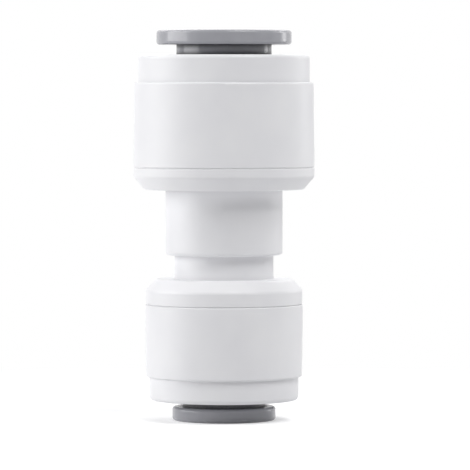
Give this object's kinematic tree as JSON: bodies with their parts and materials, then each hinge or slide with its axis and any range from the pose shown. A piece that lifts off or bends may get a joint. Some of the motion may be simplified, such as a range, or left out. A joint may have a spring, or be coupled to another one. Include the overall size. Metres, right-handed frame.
{
  "type": "push fit coupling",
  "caption": "Straight reducing push-in coupling for plastic tube: stepped white body, capped ends, and grey release collets that slide and turn in them.",
  "frame": {"origin": "centre of the small collet's outer end face, on which the part stands", "axes": "+Z along the one common axis, from the small end to the large end; the part is round, so X and Y are free, and a finger slot of each collet lies on +X"},
  "size_m": [0.0212, 0.0212, 0.0455],
  "materials": {
    "body_plastic": "white moulded polypropylene, fine satin gloss",
    "cap_plastic": "white moulded polypropylene, fine satin gloss",
    "collet_plastic": "grey moulded acetal, smooth",
    "tooth_steel": "stamped stainless strip",
    "seal_rubber": "moulded nitrile rubber, lightly greased",
    "washer_plastic": "natural moulded nylon"
  },
  "bodies": {
    "fitting": {"main_body": "body_plastic", "large_end_cap": "cap_plastic", "small_end_cap": "cap_plastic", "large_o_ring": "seal_rubber", "small_o_ring": "seal_rubber"},
    "large_washer": {"large_spacer_washer": "washer_plastic"},
    "large_collet": {"large_collet": "collet_plastic", "large_grip_teeth": "tooth_steel"},
    "small_washer": {"small_spacer_washer": "washer_plastic"},
    "small_collet": {"small_collet": "collet_plastic", "small_grip_teeth": "tooth_steel"}
  },
  "joints": [
    {"name": "large_collet_turn", "type": "hinge", "parent": "fitting", "child": "large_washer", "pos_m": [0, 0, 0.0313], "axis": [0, 0, 1], "continuous": true},
    {"name": "large_collet_press", "type": "slide", "parent": "large_washer", "child": "large_collet", "axis": [0, 0, -1], "range_m": [0, 0.0011]},
    {"name": "small_collet_turn", "type": "hinge", "parent": "fitting", "child": "small_washer", "pos_m": [0, 0, 0.0117], "axis": [0, 0, 1], "continuous": true},
    {"name": "small_collet_press", "type": "slide", "parent": "small_washer", "child": "small_collet", "axis": [0, 0, 1], "range_m": [0, 0.00065]}
  ]
}
